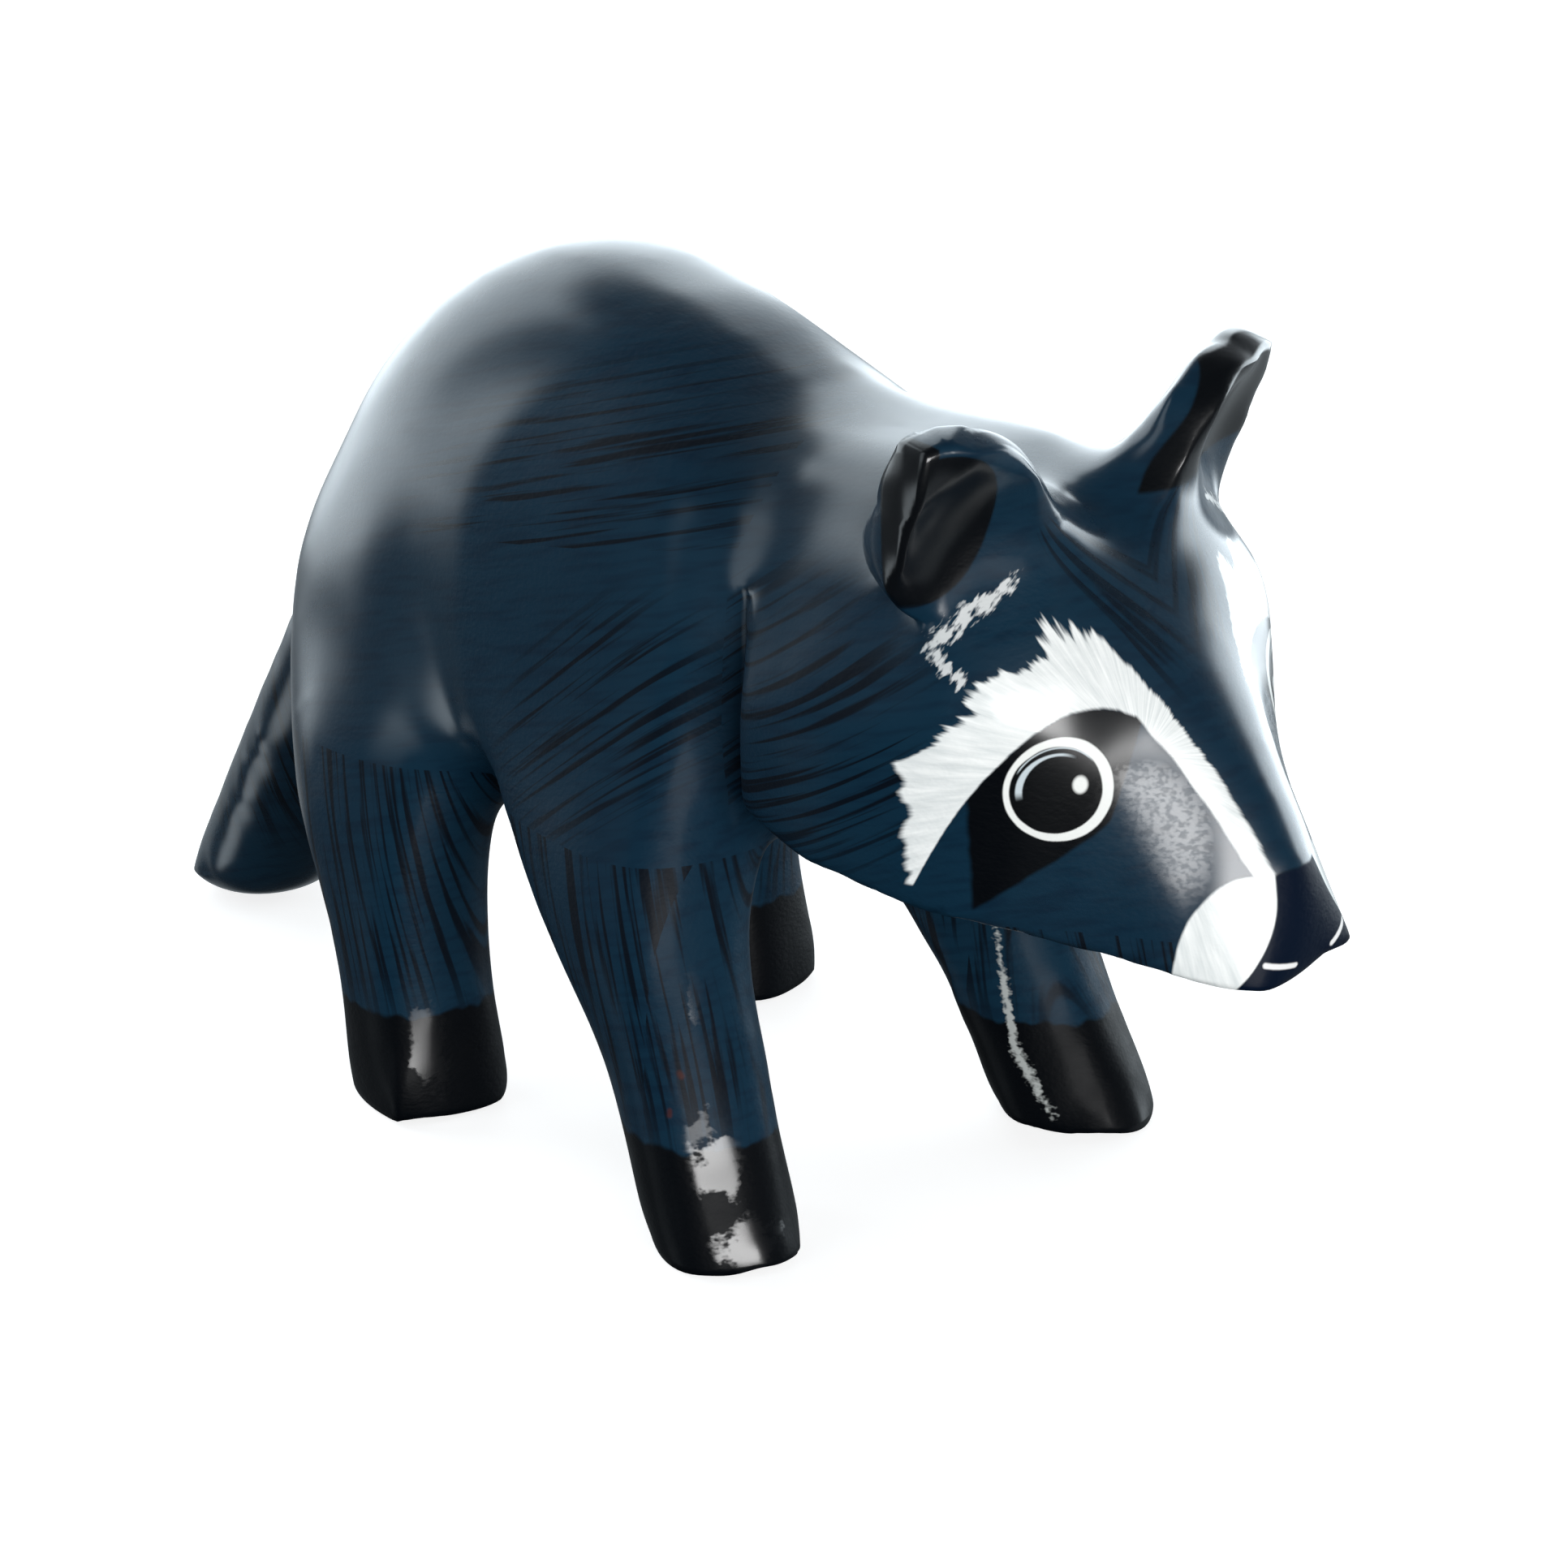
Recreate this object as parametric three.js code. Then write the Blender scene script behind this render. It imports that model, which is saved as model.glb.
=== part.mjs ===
// A raccoon on four paws, carved from one piece of light wood, with an arched back, a wedge of a
// head held a little to one side, two scooped ears and a drooping brush of a tail.
// Millimetres, +Z up, nose towards -Y, the animal's left towards +X.
// The form is worked out as a carver does it: round masses are blended together, then flat cuts
// are taken off them, and the skin of the result is drawn as one closed mesh.
import * as THREE from "three";

// Driving sizes
const backHeight = 78.5;
const bodyWidth = 44;
const bellyHeight = 29;
const rumpReach = 50;
const wheelbase = 42;
const frontTrack = 41;
const hindTrack = 40.8;
const pawWidth = 13.6;
const headWidth = 46;
const headTilt = 7;
const noseReach = 60.8;
const headLength = 38.8;
const noseHeight = 37.5;
const noseTopWidth = 3.2;
const noseDepth = 7.7;
const muzzleWidth = 14.4;
const crownHeight = 67.2;
const earHeight = 14.2;
const rightEarWidth = 12.8;
const leftEarWidth = 15.4;
const leftEarDrop = 1.2;
const earTip = 5.2;
const earThickness = 6.2;
const earScoop = 1.2;
const tailReach = 88;
const tailWidth = 16;
const tailClearance = 0.5;
const pawEdge = 2.4;
const stride = 2;
const bodyStep = 3.3;
const headStep = 2.3;

const { min, max, abs, hypot, pow } = Math;
const vec = (x, y, z) => new THREE.Vector3(x, y, z);
const unit = (x, y, z) => vec(x, y, z).normalize();
const mix = THREE.MathUtils.lerp;
const ease = THREE.MathUtils.smoothstep;

// Joins two masses with a fillet; a cut is the same thing turned inside out
function join(a, b, fillet) {
  const near = max(fillet - abs(a - b), 0) / fillet;
  return min(a, b) - (near * near * fillet) / 4;
}
const cut = (a, b, round) => -join(-a, -b, round);

// Distance from p to a flat cut through a point, positive on the side that is taken away
const plane = (p, point, normal) => normal.x * (p.x - point.x) + normal.y * (p.y - point.y)
  + normal.z * (p.z - point.z);

// A long form follows stations along a run, with a smooth curve of every value between them
function stationAt(stations, run) {
  const at = min(max(run, stations[0].run), stations[stations.length - 1].run);
  let i = 1;
  while (i < stations.length - 1 && at > stations[i].run) i += 1;
  const [a, b] = [stations[i - 1], stations[i]];
  const before = stations[max(i - 2, 0)];
  const after = stations[min(i + 1, stations.length - 1)];
  const length = b.run - a.run;
  const t = (at - a.run) / length;
  const [t2, t3] = [t * t, t * t * t];
  const value = (key) => {
    const leave = ((b[key] - before[key]) / (b.run - before.run)) * length;
    const arrive = ((after[key] - a[key]) / (after.run - a.run)) * length;
    return (2 * t3 - 3 * t2 + 1) * a[key] + (t3 - 2 * t2 + t) * leave
      + (3 * t2 - 2 * t3) * b[key] + (t3 - t2) * arrive;
  };
  return Object.fromEntries(Object.keys(a).map((key) => [key, value(key)]));
}

// The trunk's stations run from the neck to the rump. Each has the height of the back, of the side
// where it stands out most, which falls from the haunch to the elbow as a soft ridge, and of the
// belly, as shares of the way up from bellyHeight to backHeight, and the half-width.
const side = bodyWidth / 2;
const trunkDepth = backHeight - bellyHeight;
const trunkStations = [
  { run: -38, top: 0.61, wide: 0.424, low: 0.263, half: side - 11 },
  { run: -25, top: 0.691, wide: 0.384, low: 0.162, half: side - 8 },
  { run: -12, top: 0.812, wide: 0.303, low: 0.02, half: side - 4.6 },
  { run: 2, top: 0.932, wide: 0.263, low: -0.02, half: side - 2.2 },
  { run: 15, top: 1, wide: 0.283, low: -0.02, half: side - 1.7 },
  { run: 26, top: 0.964, wide: 0.343, low: 0, half: side - 1.6 },
  { run: 36, top: 0.842, wide: 0.404, low: 0.04, half: side - 4.4 },
  { run: rumpReach - 6, top: 0.657, wide: 0.384, low: 0.121, half: side - 8.6 },
  { run: rumpReach, top: 0.475, wide: 0.343, low: 0.263, half: side - 13.6 },
];
function trunk(p) {
  const s = stationAt(trunkStations, p.y);
  const height = p.z - bellyHeight - trunkDepth * s.wide;
  const tall = trunkDepth * (height > 0 ? s.top - s.wide : s.wide - s.low);
  const size = pow(pow(abs(p.x) / s.half, 2.3) + pow(abs(height) / tall, height > 0 ? 2 : 2.3), 0.45);
  const skinned = (size - 1) * min(s.half, tall);
  const ends = max(trunkStations[0].run - p.y, p.y - rumpReach);
  return cut(skinned, ends, 8);
}

// A leg's stations run upwards from the sole. Each has the middle of its section, two half-widths,
// the turn of the section in degrees and how square it is.
function leg(p, stations) {
  const s = stationAt(stations, p.z);
  const turn = THREE.MathUtils.degToRad(s.turn);
  const [dx, dy] = [p.x - s.x, p.y - s.y];
  const across = (dx * Math.cos(turn) + dy * Math.sin(turn)) / s.across;
  const along = (dy * Math.cos(turn) - dx * Math.sin(turn)) / s.along;
  const size = pow(pow(abs(across), s.square) + pow(abs(along), s.square), 1 / s.square);
  const shaft = (size - 1) * min(s.across, s.along);
  const top = stations[stations.length - 1].run;
  return cut(cut(shaft, p.z - top, 10), -p.z, pawEdge);
}
const frontX = frontTrack / 2;
const hindX = hindTrack / 2;
const front = -wheelbase / 2;
const hind = wheelbase / 2;
const paw = pawWidth / 2;
const knee = backHeight * 0.178;
const elbow = backHeight * 0.35;
const shoulder = backHeight * 0.535;
const frontStations = [
  { run: 0, x: frontX, y: front - 0.5, across: paw - 0.2, along: 7.5, turn: 36, square: 2.5 },
  { run: knee, x: frontX - 0.9, y: front + 6.2, across: paw - 0.2, along: 7.6, turn: 26, square: 2.8 },
  { run: elbow, x: frontX - 1.7, y: front + 14, across: paw + 1.2, along: 11, turn: 14, square: 2.7 },
  { run: shoulder, x: side - 9.4, y: front + 21, across: 10, along: 15.6, turn: 2, square: 3.8 },
  { run: shoulder + 16, x: side - 12.6, y: front + 25, across: 11, along: 21, turn: 0, square: 3 },
  { run: shoulder + 26, x: side - 14.4, y: front + 27, across: 10, along: 18, turn: 0, square: 2.4 },
];
const hindStations = [
  { run: 0, x: hindX, y: hind + 0.5, across: paw, along: 6.8, turn: 10, square: 3.4 },
  { run: knee, x: hindX - 0.4, y: hind + 3, across: paw - 0.1, along: 7.1, turn: 8, square: 2.7 },
  { run: elbow, x: hindX - 2.2, y: hind + 7, across: paw + 0.8, along: 11, turn: 4, square: 2.5 },
  { run: shoulder, x: side - 10.2, y: hind + 10.3, across: 9.5, along: 15.2, turn: 0, square: 2.3 },
  { run: shoulder + 14, x: side - 13, y: hind + 11, across: 9, along: 12.6, turn: 0, square: 2.2 },
];

// The head is worked out upright and then tilted about the neck, left side up. Its stations run
// from the nose to the back of the cheeks, as shares of the head's length. Each has the jaw's
// height and half-width, those of the line where the cheek stands out most, and those of the edge
// where the brow meets the forehead, as shares of the way from the nose's own to the head's.
const neckPivot = vec(0, headLength - noseReach - 3, backHeight - 23.5);
const tilt = THREE.MathUtils.degToRad(headTilt);
const cheekX = headWidth / 2;
const chin = noseHeight - noseDepth;
const headStations = [
  { at: 0, low: 0, jaw: 0, mid: 0.093, cheek: 0.17, top: 0, brow: 0 },
  { at: 0.09, low: 0.013, jaw: 0.06, mid: 0.159, cheek: 0.278, top: 0.168, brow: 0.042 },
  { at: 0.18, low: 0.034, jaw: 0.158, mid: 0.279, cheek: 0.33, top: 0.327, brow: 0.103 },
  { at: 0.278, low: 0.053, jaw: 0.24, mid: 0.451, cheek: 0.426, top: 0.488, brow: 0.187 },
  { at: 0.356, low: 0.08, jaw: 0.342, mid: 0.57, cheek: 0.6, top: 0.65, brow: 0.299 },
  { at: 0.433, low: 0.106, jaw: 0.481, mid: 0.635, cheek: 0.755, top: 0.774, brow: 0.38 },
  { at: 0.536, low: 0.141, jaw: 0.671, mid: 0.65, cheek: 0.865, top: 0.909, brow: 0.39 },
  { at: 0.665, low: 0.186, jaw: 0.835, mid: 0.623, cheek: 0.948, top: 0.949, brow: 0.299 },
  { at: 0.82, low: 0.233, jaw: 0.937, mid: 0.597, cheek: 1, top: 1, brow: 0.276 },
  { at: 1, low: 0.292, jaw: 0.937, mid: 0.57, cheek: 0.978, top: 1, brow: 0.276 },
].map((share) => ({
  run: headLength * share.at - noseReach,
  low: mix(chin, crownHeight, share.low),
  jaw: mix(muzzleWidth / 2, cheekX, share.jaw),
  mid: mix(chin, crownHeight, share.mid),
  cheek: cheekX * share.cheek,
  top: mix(noseHeight, crownHeight, share.top),
  brow: mix(noseTopWidth / 2, cheekX, share.brow),
}));
function head(p) {
  const s = stationAt(headStations, p.y);
  const wall = (x0, z0, x1, z1) => (
    ((p.x - x0) * (z1 - z0) - (p.z - z0) * (x1 - x0)) / hypot(x1 - x0, z1 - z0));
  const cheek = wall(s.jaw, s.low, s.cheek, s.mid);
  const brow = wall(s.cheek, s.mid, s.brow, s.top);
  const forehead = plane(p, vec(0, -noseReach, noseHeight), unit(0, -0.835, 0.55));
  const crown = plane(p, vec(0, headLength - noseReach - 8, crownHeight), unit(0, -0.02, 1));
  const end = plane(p, vec(0, -noseReach, noseHeight), unit(0, -1, -0.03));
  const back = plane(p, vec(cheekX, headLength - noseReach - 0.5, noseHeight + 12.5), unit(0.75, 1, 0.13));
  const sides = cut(cheek, brow, 3);
  const top = cut(forehead, crown, 12);
  return cut(cut(cut(cut(sides, top, 2.5), s.low - p.z, 1.6), end, 1.6), back, 1);
}

// An ear is a thick blade with a scooped front, leaning forward. Its outer edge is upright, and its
// inner edge slopes down to the crown. The two were cut by eye: the left one is broader and lower.
const earRoot = vec(cheekX * 0.617, headLength * 0.562 - noseReach, crownHeight - 7.1);
const earUp = unit(0.05, -0.41, 1);
const earFace = unit(0.3, -0.93, -0.34);
const earOut = vec(0, 0, 0).crossVectors(earUp, earFace).normalize();
const earFront = vec(0, 0, 0).crossVectors(earOut, earUp);
const earSlope = unit(-0.81, 0.59, 0);
function ear(p, width) {
  const q = p.clone().sub(earRoot);
  const [up, out, depth] = [q.dot(earUp), q.dot(earOut), q.dot(earFront)];
  const spare = (width - rightEarWidth) / 2;
  const inner = plane(vec(out, up, 0), vec(-earTip / 2 - spare, earHeight, 0), earSlope);
  const edges = cut(cut(out - width / 2, inner, 3), max(up - earHeight, -up - 0.6), 4);
  const thick = mix(earThickness, earThickness * 0.74, ease(up, 0, earHeight));
  const blade = cut(edges, max(depth, -thick - depth), 2);
  const [wide, tall] = [(out - 0.6) / (width * 0.42), (up - earHeight * 0.46) / (earHeight * 0.5)];
  const dish = earScoop * (1 - ease(hypot(wide, tall), 0.35, 1));
  return max(blade, depth + dish);
}

// The tail hangs from the rump to just over the ground, and ends flat
function tail(p) {
  const root = vec(0, rumpReach - 4, backHeight - 25.5);
  const tip = vec(0, tailReach - tailWidth / 2, 0);
  const run = tip.clone().sub(root);
  const along = run.clone().normalize();
  const share = min(max(p.clone().sub(root).dot(along) / run.length(), 0), 1);
  const q = p.clone().sub(root.clone().addScaledVector(run, share));
  const deep = tailWidth * mix(0.41, 0.46, ease(share, 0.35, 0.8));
  const half = mix(tailWidth * 0.45, tailWidth / 2, ease(share, 0, 0.8));
  const size = hypot(q.x / half, q.dot(vec(0, -along.z, along.y)) / deep, q.dot(along) / deep);
  return cut((size - 1) * deep, tailClearance - p.z, 4);
}

// The whole figure at a point, negative inside the wood
function figure(x, y, z) {
  const p = vec(abs(x), y, z);
  let wood = join(trunk(p), leg(p, hindStations), 5);
  const lead = (x > 0 ? stride : -stride) * (1 - ease(z, 0, backHeight * 0.43));
  wood = join(wood, leg(vec(abs(x), y + lead, z), frontStations), 3);
  wood = join(wood, tail(p), 5);
  const q = vec(x, y, z).sub(neckPivot).applyAxisAngle(vec(0, 1, 0), tilt).add(neckPivot);
  const [width, drop] = q.x > 0 ? [leftEarWidth, leftEarDrop] : [rightEarWidth, 0];
  q.x = abs(q.x);
  return join(wood, join(head(q), ear(vec(q.x, q.y, q.z + drop), width), 4), 2);
}

// Grid lines over a span, with the step that holds at each place
function gridLines(low, high, stepAt) {
  const lines = [low];
  for (let at = low; at < high; lines.push(at)) at += stepAt(at);
  return lines;
}

// The skin of a solid given by its distance: one vertex in each cell of a grid for each sheet of
// the surface that passes through it, set where the surface's tangent planes meet, and one quad
// across each grid edge that the surface cuts.
function skin(field, lines) {
  const count = lines.map((list) => list.length);
  const corner = (i, j, k) => vec(lines[0][i], lines[1][j], lines[2][k]);
  const index = (i, j, k) => (k * count[1] + j) * count[0] + i;
  const values = new Float64Array(count[0] * count[1] * count[2]);
  for (let k = 0; k < count[2]; k += 1) {
    for (let j = 0; j < count[1]; j += 1) {
      for (let i = 0; i < count[0]; i += 1) {
        values[index(i, j, k)] = field(lines[0][i], lines[1][j], lines[2][k]);
      }
    }
  }

  const slope = (p) => {
    const e = 0.05;
    return vec(
      field(p.x + e, p.y, p.z) - field(p.x - e, p.y, p.z),
      field(p.x, p.y + e, p.z) - field(p.x, p.y - e, p.z),
      field(p.x, p.y, p.z + e) - field(p.x, p.y, p.z - e),
    ).normalize();
  };
  // Where the surface cuts a grid edge, found by halving
  const crossing = (inside, outside) => {
    const [a, b] = [inside.clone(), outside.clone()];
    for (let n = 0; n < 12; n += 1) {
      const middle = a.clone().lerp(b, 0.5);
      if (field(middle.x, middle.y, middle.z) < 0) a.copy(middle);
      else b.copy(middle);
    }
    return a.lerp(b, 0.5);
  };

  // The sheet of a cell that a corner inside the solid belongs to: the corners it reaches
  const sheet = (cell, start) => {
    const reached = new Set([index(...start)]);
    const waiting = [start];
    while (waiting.length > 0) {
      const from = waiting.pop();
      for (let axis = 0; axis < 3; axis += 1) {
        const next = from.slice();
        next[axis] = 2 * cell[axis] + 1 - from[axis];
        if (values[index(...next)] >= 0 || reached.has(index(...next))) continue;
        reached.add(index(...next));
        waiting.push(next);
      }
    }
    return `${index(...cell)} ${min(...reached)}`;
  };

  const cells = new Map();
  const quads = [];
  for (let k = 1; k < count[2] - 1; k += 1) {
    for (let j = 1; j < count[1] - 1; j += 1) {
      for (let i = 1; i < count[0] - 1; i += 1) {
        for (let axis = 0; axis < 3; axis += 1) {
          const next = [i, j, k];
          next[axis] += 1;
          const inside = values[index(i, j, k)] < 0;
          if (inside === values[index(...next)] < 0) continue;
          const ends = [corner(i, j, k), corner(...next)];
          const point = inside ? crossing(ends[0], ends[1]) : crossing(ends[1], ends[0]);
          const normal = slope(point);
          const [u, v] = [(axis + 1) % 3, (axis + 2) % 3];
          const around = [[0, 0], [1, 0], [1, 1], [0, 1]].map(([du, dv]) => {
            const cell = [i, j, k];
            cell[u] -= du;
            cell[v] -= dv;
            return cell;
          });
          const keys = around.map((cell) => sheet(cell, inside ? [i, j, k] : next));
          keys.forEach((key, n) => {
            if (!cells.has(key)) cells.set(key, { cell: around[n], cuts: [] });
            cells.get(key).cuts.push({ point, normal });
          });
          quads.push(inside ? keys : keys.reverse());
        }
      }
    }
  }

  const places = new Map();
  const positions = [];
  cells.forEach(({ cell: [i, j, k], cuts }, key) => {
    const v = vec(0, 0, 0);
    cuts.forEach((c) => v.addScaledVector(c.point, 1 / cuts.length));
    const spread = new THREE.Matrix3().multiplyScalar(0.06);
    const pull = vec(0, 0, 0);
    cuts.forEach(({ point, normal: n }) => {
      const parts = n.toArray();
      parts.forEach((a, row) => parts.forEach((b, col) => { spread.elements[row * 3 + col] += a * b; }));
      pull.addScaledVector(n, plane(point, v, n));
    });
    v.add(pull.applyMatrix3(spread.invert()));
    v.clamp(corner(i, j, k), corner(i + 1, j + 1, k + 1));
    places.set(key, positions.length / 3);
    positions.push(v.x, v.y, v.z);
  });

  // Vertices on smooth ground are spread evenly; those on a ridge stay where they are
  const place = (n) => vec().fromArray(positions, 3 * n);
  const around = Array.from({ length: places.size }, () => new Set());
  quads.forEach((keys) => keys.forEach((key, n) => {
    const [a, b] = [places.get(key), places.get(keys[(n + 1) % 4])];
    around[a].add(b);
    around[b].add(a);
  }));
  const steady = [...cells.values()].map(({ cuts }) => {
    const mean = cuts.reduce((sum, c) => sum.add(c.normal), vec(0, 0, 0)).normalize();
    return ease(min(...cuts.map((c) => c.normal.dot(mean))), 0.8, 0.97);
  });
  for (let round = 0; round < 4; round += 1) {
    const moved = around.map((set, n) => {
      const target = vec(0, 0, 0);
      set.forEach((m) => target.addScaledVector(place(m), 1 / set.size));
      const v = place(n);
      const normal = slope(v);
      const step = target.sub(v);
      v.addScaledVector(step.addScaledVector(normal, -step.dot(normal)), 0.5 * steady[n]);
      const e = 0.05;
      const ahead = v.clone().addScaledVector(normal, e);
      const here = field(v.x, v.y, v.z);
      const steep = (field(ahead.x, ahead.y, ahead.z) - here) / e;
      return steady[n] > 0 && steep > 0.2 ? v.addScaledVector(normal, -here / steep) : v;
    });
    moved.forEach((v, n) => v.toArray(positions, 3 * n));
  }
  const triangles = quads.flatMap((keys) => {
    const [a, b, c, d] = keys.map((key) => places.get(key));
    const short = place(a).distanceTo(place(c)) <= place(b).distanceTo(place(d));
    return short ? [a, b, c, a, c, d] : [a, b, d, b, c, d];
  });
  const geometry = new THREE.BufferGeometry();
  geometry.setAttribute("position", new THREE.Float32BufferAttribute(positions, 3));
  geometry.setIndex(triangles);
  geometry.computeVertexNormals();
  return geometry;
}

// The grid is finer at the head, and no line of it lies in the ground
const spare = bodyStep * 1.5;
const room = {
  side: max(bodyWidth, frontTrack + pawWidth) / 2 + bodyStep * 2.4,
  top: max(backHeight, crownHeight + earHeight) + bodyStep * 2.4,
};
const stepAlong = (y) => mix(headStep, bodyStep, ease(y, -noseReach * 0.66, -noseReach * 0.25));
const stepUp = (z) => mix(bodyStep, headStep * 1.13, ease(z, backHeight * 0.25, backHeight * 0.43));
const geometry = skin(figure, [
  gridLines(-room.side, room.side, () => (bodyStep + headStep) * 0.446),
  gridLines(-noseReach - spare, tailReach + spare, stepAlong),
  gridLines(-spare, room.top, stepUp),
]);
const paint = new THREE.MeshStandardMaterial({ color: 0x1f3344, roughness: 0.35, metalness: 0 });
const raccoon = new THREE.Mesh(geometry, paint);
raccoon.name = "raccoon";

// The origin is under the middle of the figure, on the ground
geometry.computeBoundingBox();
const middle = geometry.boundingBox.getCenter(vec());
raccoon.position.set(-middle.x, -middle.y, -geometry.boundingBox.min.z);

const figurine = new THREE.Group();
figurine.add(raccoon);
export default figurine;
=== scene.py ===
import bmesh
import bpy
from math import cos, pi, radians, sin
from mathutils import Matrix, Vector


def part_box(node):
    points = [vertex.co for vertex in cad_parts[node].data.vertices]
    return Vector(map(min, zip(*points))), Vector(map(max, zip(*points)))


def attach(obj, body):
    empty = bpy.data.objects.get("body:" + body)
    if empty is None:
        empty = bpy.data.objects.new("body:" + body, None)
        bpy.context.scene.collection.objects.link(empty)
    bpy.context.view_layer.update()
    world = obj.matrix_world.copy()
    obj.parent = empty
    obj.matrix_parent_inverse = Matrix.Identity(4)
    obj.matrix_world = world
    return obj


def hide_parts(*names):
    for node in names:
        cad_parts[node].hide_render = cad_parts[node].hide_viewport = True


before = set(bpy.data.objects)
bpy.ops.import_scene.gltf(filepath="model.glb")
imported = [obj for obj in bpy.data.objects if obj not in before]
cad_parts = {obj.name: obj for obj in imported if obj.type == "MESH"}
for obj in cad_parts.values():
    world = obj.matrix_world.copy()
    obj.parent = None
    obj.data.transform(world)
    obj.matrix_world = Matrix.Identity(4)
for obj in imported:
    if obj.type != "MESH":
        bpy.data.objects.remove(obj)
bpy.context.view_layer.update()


class Wire:
    """An output socket of the material at hand. Sums and products of wires make Math nodes."""

    tree = None

    def __init__(self, socket):
        self.socket = socket

    @classmethod
    def node(cls, kind, inputs, output=0, **settings):
        made = cls.tree.nodes.new("ShaderNode" + kind)
        for name, value in settings.items():
            setattr(made, name, value)
        for name, value in inputs.items():
            if isinstance(value, Wire):
                cls.tree.links.new(value.socket, made.inputs[name])
            else:
                made.inputs[name].default_value = value
        return cls(made.outputs[output])

    def math(self, operation, other=None, first=None, clamp=False):
        values = [v for v in (first, self, other) if v is not None]
        return Wire.node("Math", dict(enumerate(values)), operation=operation, use_clamp=clamp)

    def __add__(self, other):
        return self.math("ADD", other)

    def __radd__(self, other):
        return self.math("ADD", other)

    def __sub__(self, other):
        return self.math("SUBTRACT", other)

    def __rsub__(self, other):
        return self.math("SUBTRACT", first=other)

    def __mul__(self, other):
        return self.math("MULTIPLY", other)

    def __rmul__(self, other):
        return self.math("MULTIPLY", other)

    def __truediv__(self, other):
        return self.math("DIVIDE", other)

    def __neg__(self):
        return self.math("MULTIPLY", -1.0)

    def low(self, other):
        return self.math("MINIMUM", other)

    def high(self, other):
        return self.math("MAXIMUM", other)

    def step(self, start, end):
        """0 where the value is start and 1 where it is end, eased between"""
        return Wire.node(
            "MapRange",
            {"Value": self, "From Min": start, "From Max": end},
            interpolation_type="SMOOTHSTEP",
        )

    def mix(self, under, over):
        """The colour over where this is 1, and under where it is 0"""
        return Wire.node("Mix", {0: self, 6: under, 7: over}, 2, data_type="RGBA")

    def parts(self):
        """The x, y and z of a vector"""
        outputs = Wire.node("SeparateXYZ", {0: self}).socket.node.outputs
        return [Wire(outputs[i]) for i in range(3)]


# The raccoon
# One piece of light wood, carved, sanded and painted with slate blue and black, with white on the
# face, under a gloss varnish. The skin is the solid's own, with its facets rounded off and its
# cut edges kept.
join_within = radians(60)
crease_from, crease_over = radians(32), radians(30)
hardest_crease = 0.75
smooth_levels = 2

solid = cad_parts["raccoon"]
nose_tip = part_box("raccoon")[0].y

raccoon = bpy.data.objects.new("raccoon_painted", solid.data.copy())
bpy.context.scene.collection.objects.link(raccoon)
bm = bmesh.new()
bm.from_mesh(raccoon.data)
bmesh.ops.remove_doubles(bm, verts=bm.verts[:], dist=1e-6)
bmesh.ops.join_triangles(
    bm, faces=bm.faces[:], angle_face_threshold=join_within, angle_shape_threshold=join_within,
    topology_influence=1.0,
)
crease = bm.edges.layers.float.new("crease_edge")
for edge in bm.edges:
    sharpness = (edge.calc_face_angle(0.0) - crease_from) / crease_over
    edge[crease] = min(max(sharpness, 0.0), 1.0) * hardest_crease
for face in bm.faces:
    face.smooth = True
bm.normal_update()
bm.to_mesh(raccoon.data)
bm.free()
rounding = raccoon.modifiers.new("rounding", "SUBSURF")
rounding.levels = rounding.render_levels = smooth_levels
rounding.boundary_smooth = "ALL"

paint = bpy.data.materials.new("painted_wood")
paint.use_nodes = True
Wire.tree = paint.node_tree
shader = paint.node_tree.nodes["Principled BSDF"]

# Places on the body, in millimetres: x to the left, y behind the tip of the nose, z up
place = Wire.node("TexCoord", {}, "Object")
place = Wire.node("VectorMath", {0: place, 3: 1000.0}, operation="SCALE")
place = Wire.node("VectorMath", {0: place, 1: (0.0, -nose_tip * 1000, 0.0)}, operation="ADD")
x, y, z = place.parts()
side = x.math("ABSOLUTE")

# Places on the head, upright; across is measured round the cheek from the tip of the nose
head_tilt = radians(7)
neck_pivot = (0.0, 35.6, 55.0)
half_diagonal = 0.7071
upright = Wire.node(
    "VectorRotate",
    {"Vector": place, "Center": neck_pivot, "Angle": head_tilt},
    rotation_type="Y_AXIS",
)
head_x, head_y, up = upright.parts()
head_side = head_x.math("ABSOLUTE")
across = (head_side + head_y) * half_diagonal


def noise(vector, scale=1.0, detail=1.0, rough=0.5):
    return Wire.node(
        "TexNoise", {"Vector": vector, "Scale": scale, "Detail": detail, "Roughness": rough}
    )


def vector(a, b, c=0.0):
    return Wire.node("CombineXYZ", {0: a, 1: b, 2: c})


def away(*offsets):
    """The distance that these offsets make together"""
    return sum(offset * offset for offset in offsets).math("SQRT")


def blob(a, b, half_a, half_b):
    """1 in the middle of an ellipse and 0 on its edge"""
    return 1.0 - (a / half_a).math("POWER", 2.0) - (b / half_b).math("POWER", 2.0)


# White of the face. The brow's hairs spread from a point under it; its edges are parabolas.
hair_foot_across, hair_foot_up = 12.5, 48.0
nose_top, muzzle_top, brow_foot, brow_back, face_back = 38.4, 38.6, 38.3, 30.6, 24.5
brow_middle, brow_low_top, brow_high_top = 16.8, 52.15, 57.6
nose_wing_top = 36.8

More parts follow.
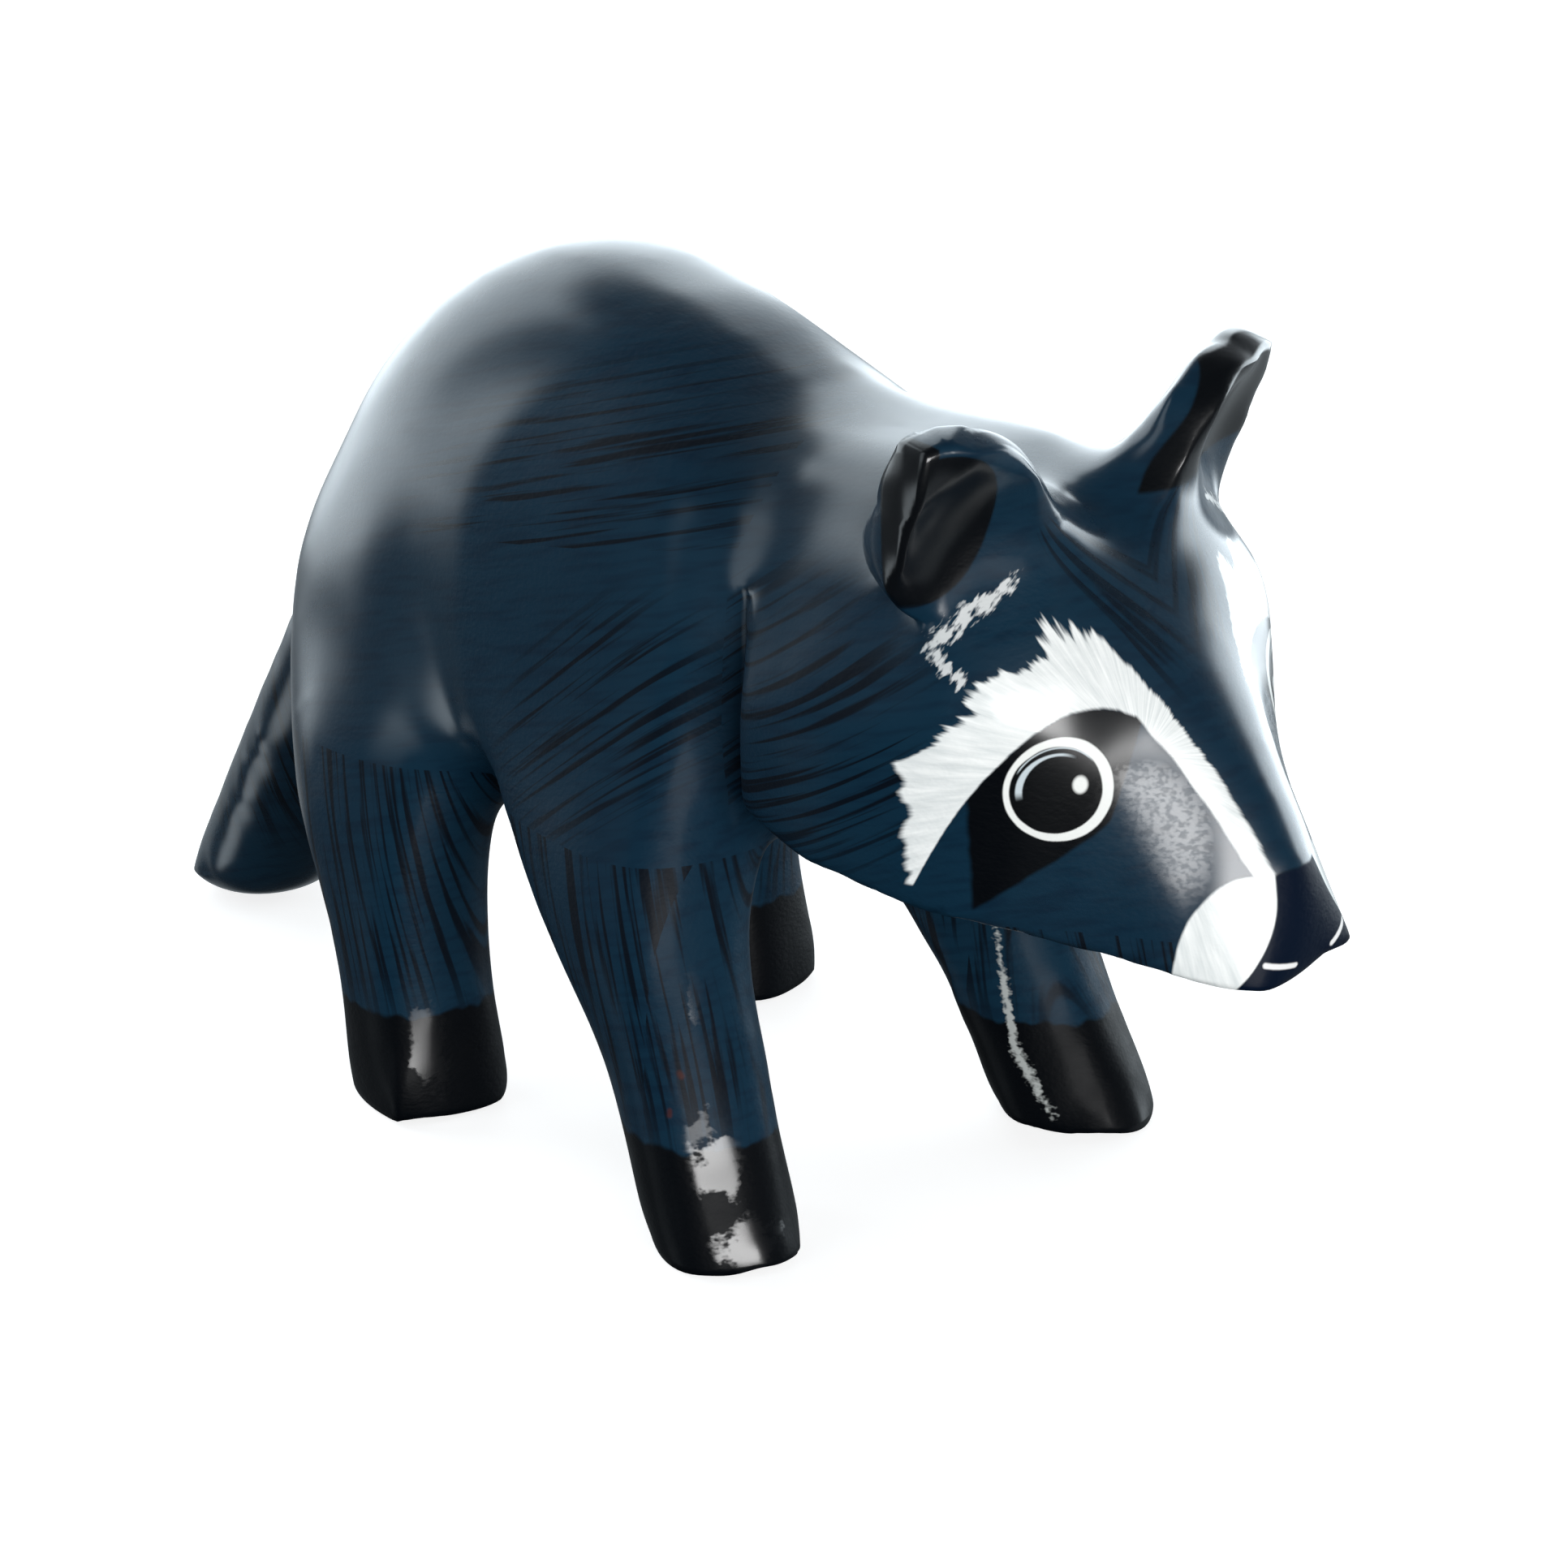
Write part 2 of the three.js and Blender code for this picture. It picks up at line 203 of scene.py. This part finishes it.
wobble = noise(place, 0.5) - 0.5
edge_noise = wobble * 0.5
hair_over, hair_rise = across - hair_foot_across, up - hair_foot_up
hair_turn = hair_rise.math("ARCTAN2", hair_over)
hair_reach = away(hair_rise, hair_over)
side_seed = head_x.math("SIGN") * 7.0
tuft = noise(vector(hair_turn * 8.0, hair_reach * 0.12, side_seed)) - 0.5
hair = noise(vector(hair_turn * 24.0, hair_reach * 0.2, side_seed + 3.0), 1.0, 2.0, 0.6) - 0.5
feather = tuft * 6.0 + hair * 3.0

rise = up - nose_top
forehead_edge = 3.0 + rise * 0.42 + rise * rise * 0.0125
stripe_edge = 4.7 + rise * 0.5 + rise * rise * 0.0115
lid = across - brow_middle
brow_low = brow_low_top - lid * lid * 0.076
brow_high = brow_high_top - lid * lid * 0.048 + feather
beside_forehead = (across - forehead_edge + feather * 0.12).step(-0.15, 0.25)
above_eye = (up - brow_low + feather * 0.05).step(-0.15, 0.2)
in_stripe = (stripe_edge - across + edge_noise).step(-0.15, 0.2)
brow = above_eye.high(in_stripe) * beside_forehead * (brow_high - up).step(-0.3, 0.5)
brow = brow * (brow_back - across + feather * 0.5).step(-0.3, 0.4)
brow = brow * (up - brow_foot).step(-0.1, 0.2)

nose_wing = (nose_wing_top - up).high(0.0)
nose_edge = 3.0 + nose_wing * nose_wing * 0.085
in_muzzle = blob(across - 4.0, up - 30.0, 7.3, 8.8)
muzzle = (in_muzzle + edge_noise * 0.15).step(-0.03, 0.04)
muzzle = muzzle * (across - nose_edge).step(-0.1, 0.15) * (muzzle_top - up).step(0.0, 0.3)
on_face = (face_back - head_y).step(0.0, 0.6)
white = brow.high(muzzle) * on_face

# Black of the eye patch, the nose, the paws and the ears
patch_back, nose_back, paw_top, hind_paws_back = 25.9, 6.0, 10.2, 95.0
near_ear_side, near_ear_up, near_ear_rim_foot = 18.5, 66.8, 60.5
far_ear_foot, ear_foot, ear_back = 64.0, 60.0, 23.8

patch = (brow_low - up).step(-0.2, 0.2) * (patch_back - across + edge_noise).step(-0.2, 0.3)
patch_front = (across - 12.6) * 6.2 + (up - 49.5) * 2.5
patch_under = up - 43.3 + (across - 15.1) * 0.646
patch = patch * (patch_front + edge_noise).step(-0.5, 1.5)
patch = patch * (patch_under + edge_noise).step(-0.2, 0.3) * on_face
nose = (nose_edge - across).step(-0.1, 0.15) * (nose_top - up + edge_noise).step(-0.1, 0.2)
nose = nose * (nose_back - head_y).step(0.0, 0.5)
paw = (paw_top - z + wobble * 1.5).step(-0.2, 0.3) * (hind_paws_back - y).step(0.0, 0.5)
near_ear = blob(head_side - near_ear_side, up - near_ear_up, 6.0, 6.3)
near_ear = (near_ear + edge_noise * 0.1).step(-0.03, 0.05)
near_ear_rim = (head_side - near_ear_side).step(0.0, 0.3) * (up - near_ear_rim_foot).step(0.0, 1.0)
near_ear = near_ear.high(near_ear_rim)
far_ear = (head_side - 4.8 - (up - 65.9) * 1.03).step(-0.1, 0.2)
far_ear = far_ear * (up - far_ear_foot + edge_noise).step(0.0, 0.4)
ear = near_ear + (far_ear - near_ear) * head_x.step(-0.5, 0.5)
ear = ear * (ear_back - head_y).step(0.0, 0.4) * (up - ear_foot).step(0.0, 1.0)
black = patch.high(nose).high(paw).high(ear)

# The eye: a white ring round black, with a painted highlight arc, a line under the lid and a
# painted highlight spot
eye_across, eye_up, eye_radius = 19.0, 46.4, 3.85
glint_radius, lid_radius = 2.9, 3.42

eye_x, eye_z = across - eye_across, up - eye_up
eye_r = away(eye_x, eye_z)
toward_nose = -eye_x / (eye_r + 0.01)
ring_half = 0.33 + toward_nose * 0.1
ring = (ring_half - (eye_r - eye_radius).math("ABSOLUTE") + wobble * 0.12).step(-0.08, 0.08)
inside = (eye_radius - eye_r).step(-0.1, 0.1) * on_face
arc_turn = eye_z.math("ARCTAN2", eye_x)
# The arc is a painted highlight on the black of the eye, joined at the top by the line under the
# lid
glint_half = 0.1 + arc_turn.step(1.6, 0.2) * 0.16
glint_and_lid_line = (glint_half - (eye_r - glint_radius).math("ABSOLUTE")).step(-0.08, 0.08)
glint_and_lid_line = glint_and_lid_line * (arc_turn + 0.1).step(-0.1, 0.2) * (2.0 - arc_turn).step(-0.2, 0.3)
lid_line = (0.05 - (eye_r - lid_radius).math("ABSOLUTE")).step(-0.07, 0.07)
lid_line = lid_line * (arc_turn - 0.5).step(0.0, 0.2) * (2.6 - arc_turn).step(0.0, 0.3)
glint_and_lid_line = glint_and_lid_line.high(lid_line)
# The spot is a painted highlight, a spot of light on the eye
glint_spot = blob(eye_x + 1.75, eye_z - 0.3, 0.62, 0.75).step(-0.3, 0.6)


# Strokes of near-black over the slate blue, each group in its own direction
def turned(angle, a, b):
    return a * cos(angle) + b * sin(angle), b * cos(angle) - a * sin(angle)


def chosen(choice, first, second):
    """The first where choice is 0, and the second where it is 1"""
    return first + (second - first) * choice


leg_top, neck_back, shoulder_top = 33.0, 44.5, 53.0
stroke_stretch, strokes_per_mm = 0.05, 1.55

flank_a, flank_b = turned(radians(-14), y - 62.0, z - 60.0)
shoulder_a, shoulder_b = turned(radians(-37), y - 55.0, z - 43.0)
cheek_a, cheek_b = turned(radians(-32), across - 38.0, up - 49.0)
leg_a, leg_b = z, side * 0.5 + y * 0.8 - z * 0.22
on_leg = (leg_top - z).math("GREATER_THAN", 0.0)
on_head = (neck_back - head_y).math("GREATER_THAN", 0.0)
on_shoulder = (shoulder_top - flank_b - z).math("GREATER_THAN", 0.0)

in_flank = blob(flank_a, flank_b, 26.0, 13.0)
in_shoulder = blob(shoulder_a, shoulder_b, 16.0, 11.0)
in_cheek = blob(cheek_a, cheek_b, 15.0, 13.0)
in_leg = (z - 6.0) * 0.08
in_group = chosen(on_head, chosen(on_shoulder, in_flank, in_shoulder), in_cheek)
in_group = chosen(on_leg, in_group, in_leg)
stroke_along = chosen(on_head, chosen(on_shoulder, flank_a, shoulder_a), cheek_a)
stroke_along = chosen(on_leg, stroke_along, leg_a)
stroke_over = chosen(on_head, chosen(on_shoulder, flank_b, shoulder_b), cheek_b)
stroke_over = chosen(on_leg, stroke_over, leg_b)
group_seed = x.math("SIGN") * 3.0 + on_leg * 2.0 + on_head * 5.0 + on_shoulder
stroke_place = vector(stroke_along * stroke_stretch, stroke_over * strokes_per_mm, group_seed)
marks = noise(stroke_place, 1.0, 2.0, 0.55).step(0.5, 0.61) * in_group.step(0.0, 0.8)

# Fainter dark strokes that spread from the foot of each ear over the forehead
fan_foot_side, fan_foot_up, fan_length = 10.5, 68.0, 19.5
fan_over, fan_down = fan_foot_side - head_side, fan_foot_up - up
fan_turn = fan_over.math("ARCTAN2", fan_down)
fan_reach = away(fan_over, fan_down)
fan = noise(vector(fan_turn * 15.0, fan_reach * 0.06, 4.0)).step(0.49, 0.6)
fan = fan * (fan_turn - 0.2).step(0.0, 0.12) * (1.05 - fan_turn).step(0.0, 0.2)
fan = fan * (fan_length - fan_reach).step(0.0, 5.0) * (fan_reach - 2.5).step(0.0, 1.5)
clear_of_brow = (forehead_edge + 0.2 - across + edge_noise).step(0.0, 0.6)
clear_of_brow = clear_of_brow.high((up - 56.5).step(0.0, 2.0))
marks = marks.high(fan * 0.75 * clear_of_brow * (22.0 - head_y).step(0.0, 3.0))


# A loose streak of white over the brow, and the thin line of light on the nose
def streak(start, end, half):
    """1 on a line over the head, 0 at half a width from it, and less further off"""
    run_across, run_up = end[0] - start[0], end[1] - start[1]
    from_across, from_up = across - start[0], up - start[1]
    share = (from_across * run_across + from_up * run_up) / (run_across**2 + run_up**2)
    share = share.high(0.0).low(1.0)
    return 1.0 - away(from_across - share * run_across, from_up - share * run_up) / half


wisp_points = ((20.9, 61.7), (24.0, 60.1), (27.2, 58.0), (27.1, 56.6), (25.6, 55.4))
wisp_halves = (0.75, 1.1, 1.1, 0.8)
wisp = streak(wisp_points[0], wisp_points[1], wisp_halves[0])
for start, end, half in zip(wisp_points[1:], wisp_points[2:], wisp_halves[1:]):
    wisp = wisp.high(streak(start, end, half))
wisp_hairs = noise(vector((across + up) * 1.6, (across - up) * 0.5, side_seed), 1.0, 2.0, 0.6)
wisp = (wisp + (wisp_hairs - 0.5) * 3.4).step(0.3, 0.9) * wisp.step(-0.5, 0.1) * 0.85 * on_face
nose_shine = streak((4.2, 32.0), (1.8, 31.2), 0.3).step(0.0, 0.6) * (4.0 - head_y).step(0.0, 0.3)

# The left front leg's inner edge gets a painted highlight, a pale line where the edge catches
# light; rust and dust lie on the varnish
stipple = noise(vector(x * 1.7, y * 1.7, z * 2.6), 1.0, 1.0, 0.6)
blotch = noise(place, 0.4, 1.0, 0.65)


def near_line(start, end, half):
    """1 on a straight line through the body, and 0 at half a width from it"""
    from_start = Wire.node("VectorMath", {0: place, 1: start}, operation="SUBTRACT")
    run = Vector(end) - Vector(start)
    share = Wire.node(
        "VectorMath", {0: from_start, 1: tuple(run)}, "Value", operation="DOT_PRODUCT"
    )
    share = (share / run.length_squared).high(0.0).low(1.0)
    foot = Wire.node("VectorMath", {0: tuple(run), 3: share}, operation="SCALE")
    gap = Wire.node("VectorMath", {0: from_start, 1: foot}, "Value", operation="DISTANCE")
    return 1.0 - gap / half


edge_top, edge_knee, edge_wrist, edge_toe = (
    (14.6, 44.0, 24.0), (13.9, 41.3, 14.3), (13.6, 39.3, 7.8), (14.9, 35.6, 2.0)
)
# A painted highlight: a pale line along the leg's edge, standing in for the light it catches
edge_highlight = near_line(edge_top, edge_knee, 0.5) * 0.6
edge_highlight = edge_highlight.high(near_line(edge_knee, edge_wrist, 0.7))
edge_highlight = edge_highlight.high(near_line(edge_wrist, edge_toe, 0.9))
edge_highlight = (edge_highlight + (stipple - 0.5) * 1.4).step(0.2, 0.8)
rust = near_line((-24.9, 42.0, 16.5), (-24.7, 42.0, 16.2), 0.55)
rust = rust.high(near_line((-25.9, 42.2, 13.4), (-25.9, 42.2, 13.0), 0.45))
dust_cells = Wire.node("TexVoronoi", {"Vector": place, "Scale": 0.1})
dust_chance = Wire(dust_cells.socket.node.outputs["Color"]).parts()[0]
dust = (dust_chance.step(0.5, 1.0) * 0.032 - dust_cells).step(-0.004, 0.006)

# The coats of paint, from the lowest up
slate_deep, slate_pale, slate_stroke = (
    (0.002, 0.015, 0.033, 1), (0.0045, 0.027, 0.05, 1), (0.0012, 0.007, 0.019, 1)
)
black_paint, nose_navy = (0.0005, 0.0012, 0.0024, 1), (0.0006, 0.0045, 0.015, 1)
white_shade, white_clear = (0.6, 0.64, 0.64, 1), (0.87, 0.89, 0.88, 1)

fine_strokes = noise(vector(y * 0.15, z * 1.2 + y * 0.3, x * 0.4), 1.0, 1.0, 0.6)
slate = noise(place, 0.045).mix(slate_deep, slate_pale)
white_tone = (0.6 + hair * 2.0).math("ADD", 0.0, clamp=True).mix(white_shade, white_clear)
coat = (fine_strokes.step(0.4, 0.75) * 0.4).mix(slate, slate_stroke)
for cover, colour in (
    (marks * 0.9, (0.0008, 0.0018, 0.0045, 1)),
    (black, nose.mix(black_paint, nose_navy)),
    (white, white_tone),
    (wisp, (0.7, 0.72, 0.72, 1)),
    (inside, (0.0015, 0.002, 0.0028, 1)),
    ((ring * on_face).high(glint_spot * inside), (0.8, 0.82, 0.8, 1)),
    (glint_and_lid_line * inside * 0.9, (0.6, 0.68, 0.72, 1)),
    (nose_shine, (0.8, 0.8, 0.8, 1)),
    (edge_highlight * 0.8, (0.5, 0.53, 0.52, 1)),
    (rust.step(0.2, 0.9) * 0.6, (0.07, 0.016, 0.01, 1)),
    (dust * 0.6, (0.4, 0.42, 0.45, 1)),
):
    coat = cover.mix(coat, colour)


# Gloss varnish: thin on the flank, the legs, the cheek and the nose, thick and stippled by the
# brush under the eye, and rubbed shiny on the right paws
def worn_spot(middle, wide, tall):
    """A rubbed place on a leg, with a ragged edge"""
    gap = away(x - middle[0], y - middle[1], (z - middle[2]) * (wide / tall)) / wide
    return (1.0 - gap + (blotch - 0.5) * 2.2 + (stipple - 0.5) * 0.8).step(0.1, 0.5)


thin_flank = blob(y - 61.0, z - 50.0, 15.0, 27.0).step(0.0, 0.4)
thin_shoulder = blob(y - 44.0, z - 38.0, 12.0, 14.0).step(0.0, 0.3)
thin_legs = (38.0 - z).step(0.0, 6.0) * (96.0 - y).step(0.0, 4.0) * (y - 28.0).step(0.0, 4.0)
thin_cheek = blob(across - 34.0, up - 46.0, 14.0, 17.0).step(0.0, 0.4)
thin_cheek = thin_cheek * (42.5 - head_y).step(0.0, 2.0)
thin_temple = blob(across - 22.5, up - 61.0, 5.0, 4.0).step(0.0, 0.5)
thin = thin_flank.high(thin_shoulder).high(thin_legs).high(thin_cheek).high(thin_temple).high(nose)

rubbed = worn_spot((-23.8, 38.7, 8.7), 2.6, 3.2).high(worn_spot((-22.9, 35.2, 2.6), 3.2, 2.2))
rubbed = rubbed.high(worn_spot((-24.4, 40.4, 12.0), 2.0, 1.6) * 0.3)
rubbed = rubbed.high(worn_spot((-22.9, 42.4, 22.4), 1.1, 5.0) * 0.5)
rubbed = rubbed.high(worn_spot((-24.0, 77.4, 7.5), 2.2, 7.0) * 0.7)

cheek_gloss = blob(across - 13.0, up - 41.0, 6.5, 8.0).step(-0.2, 0.7)
grain = 0.6 + stipple.step(0.36, 0.6) * 0.4
varnish = (1.0 - thin * 0.97 - cheek_gloss).high(rubbed).high(cheek_gloss * grain)
rough = 0.55 + (blotch - 0.5) * 0.2
bump = Wire.node("Bump", {"Height": stipple, "Strength": 0.5, "Distance": 0.00008})
for name, value in (
    ("Base Color", coat), ("Normal", bump), ("Roughness", rough), ("Coat Weight", varnish)
):
    paint.node_tree.links.new(value.socket, shader.inputs[name])
shader.inputs["Specular IOR Level"].default_value = 0.07
shader.inputs["Coat Roughness"].default_value = 0.2
raccoon.data.materials.clear()
raccoon.data.materials.append(paint)
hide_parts("raccoon")
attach(raccoon, "root")

# The floor
# A plain pale surface. It glows a little, as a lit table does, so that the figure's shadow on it
# stays faint, and the varnish doesn't mirror it.
floor_mesh = bpy.data.meshes.new("floor")
bm = bmesh.new()
bmesh.ops.create_grid(bm, x_segments=1, y_segments=1, size=3.0)
bm.to_mesh(floor_mesh)
bm.free()
floor = bpy.data.objects.new("floor", floor_mesh)
bpy.context.scene.collection.objects.link(floor)
floor_look = bpy.data.materials.new("floor")
floor_look.use_nodes = True
floor_shader = floor_look.node_tree.nodes["Principled BSDF"]
for name, value in (
    ("Base Color", (0.55, 0.55, 0.55, 1)),
    ("Roughness", 0.9),
    ("Specular IOR Level", 0.1),
    ("Emission Color", (1, 1, 1, 1)),
    ("Emission Strength", 0.78),
):
    floor_shader.inputs[name].default_value = value
floor.visible_diffuse = floor.visible_glossy = False
floor.data.materials.append(floor_look)

# Light
# A dim room with a bright wall behind the figure, other lit walls at its sides and low down, and
# one small window near the camera that lights the face and shows on the cheek and the paws.
world = bpy.data.worlds.new("room")
bpy.context.scene.world = world
world.use_nodes = True
Wire.tree = world.node_tree
sky_x, sky_y, sky_z = Wire.node("TexCoord", {}, "Generated").parts()
level = away(sky_x, sky_y) + 1e-6


def pane(azimuth, half_width, low, high, soft=6):
    """1 in a soft-edged pane of the sky and 0 outside it, all in degrees"""
    a = radians(azimuth)
    toward = (sky_x * sin(a) - sky_y * cos(a)) / level
    between = toward.step(cos(radians(half_width + soft)), cos(radians(half_width - soft)))
    above = sky_z.step(sin(radians(low - soft)), sin(radians(low + soft)))
    return between * above * sky_z.step(sin(radians(high + soft)), sin(radians(high - soft)))


behind = pane(163, 46, -4, 54) * 3.1
left_wall = pane(84, 26, -8, 24) * 5.6
right_wall = pane(-108, 13, -6, 58) * 1.5
low_right = pane(-129, 12, -34, -16) * 2.2
low_left = pane(110, 80, -50, -8, soft=10) * 0.3
dim_room = 0.04
glow = behind + left_wall + right_wall + low_right + low_left + dim_room
background = world.node_tree.nodes["Background"]
background.inputs["Color"].default_value = (0.84, 0.94, 1.0, 1)
world.node_tree.links.new(glow.socket, background.inputs["Strength"])

window_azimuth, window_height = radians(-26), radians(9)
window_away, window_wide, window_tall, window_radiance = 0.6, 0.38, 0.2, 15
window_data = bpy.data.lights.new("window", "AREA")
window_data.shape = "RECTANGLE"
window_data.size, window_data.size_y = window_wide, window_tall
window_data.energy = window_radiance * pi * window_wide * window_tall
window = bpy.data.objects.new("window", window_data)
window.location = window_away * Vector((
    sin(window_azimuth) * cos(window_height),
    -cos(window_azimuth) * cos(window_height),
    sin(window_height),
))
window_aim = Vector((0, 0, 0.04)) - window.location
window.rotation_euler = window_aim.to_track_quat("-Z", "Y").to_euler()
window.visible_camera = False
bpy.context.scene.collection.objects.link(window)
bpy.context.scene.view_settings.view_transform = "Standard"

# The camera
# At the photograph's angle, about 26 cm from the figure, in front of it and to its right.
focal_pixels, frame_pixels, sensor = 3500, 1932, 36
camera_ahead = 0.11647
camera_data = bpy.data.cameras.new("camera")
camera = bpy.data.objects.new("camera", camera_data)
camera_data.sensor_width = sensor
camera_data.lens = focal_pixels / frame_pixels * sensor
azimuth, elevation = radians(-44.1), radians(18.7)
camera.location = (-0.1666, nose_tip - camera_ahead, 0.1134)
camera.rotation_euler = (pi / 2 - elevation, 0, azimuth)
bpy.context.scene.collection.objects.link(camera)
bpy.context.scene.camera = camera
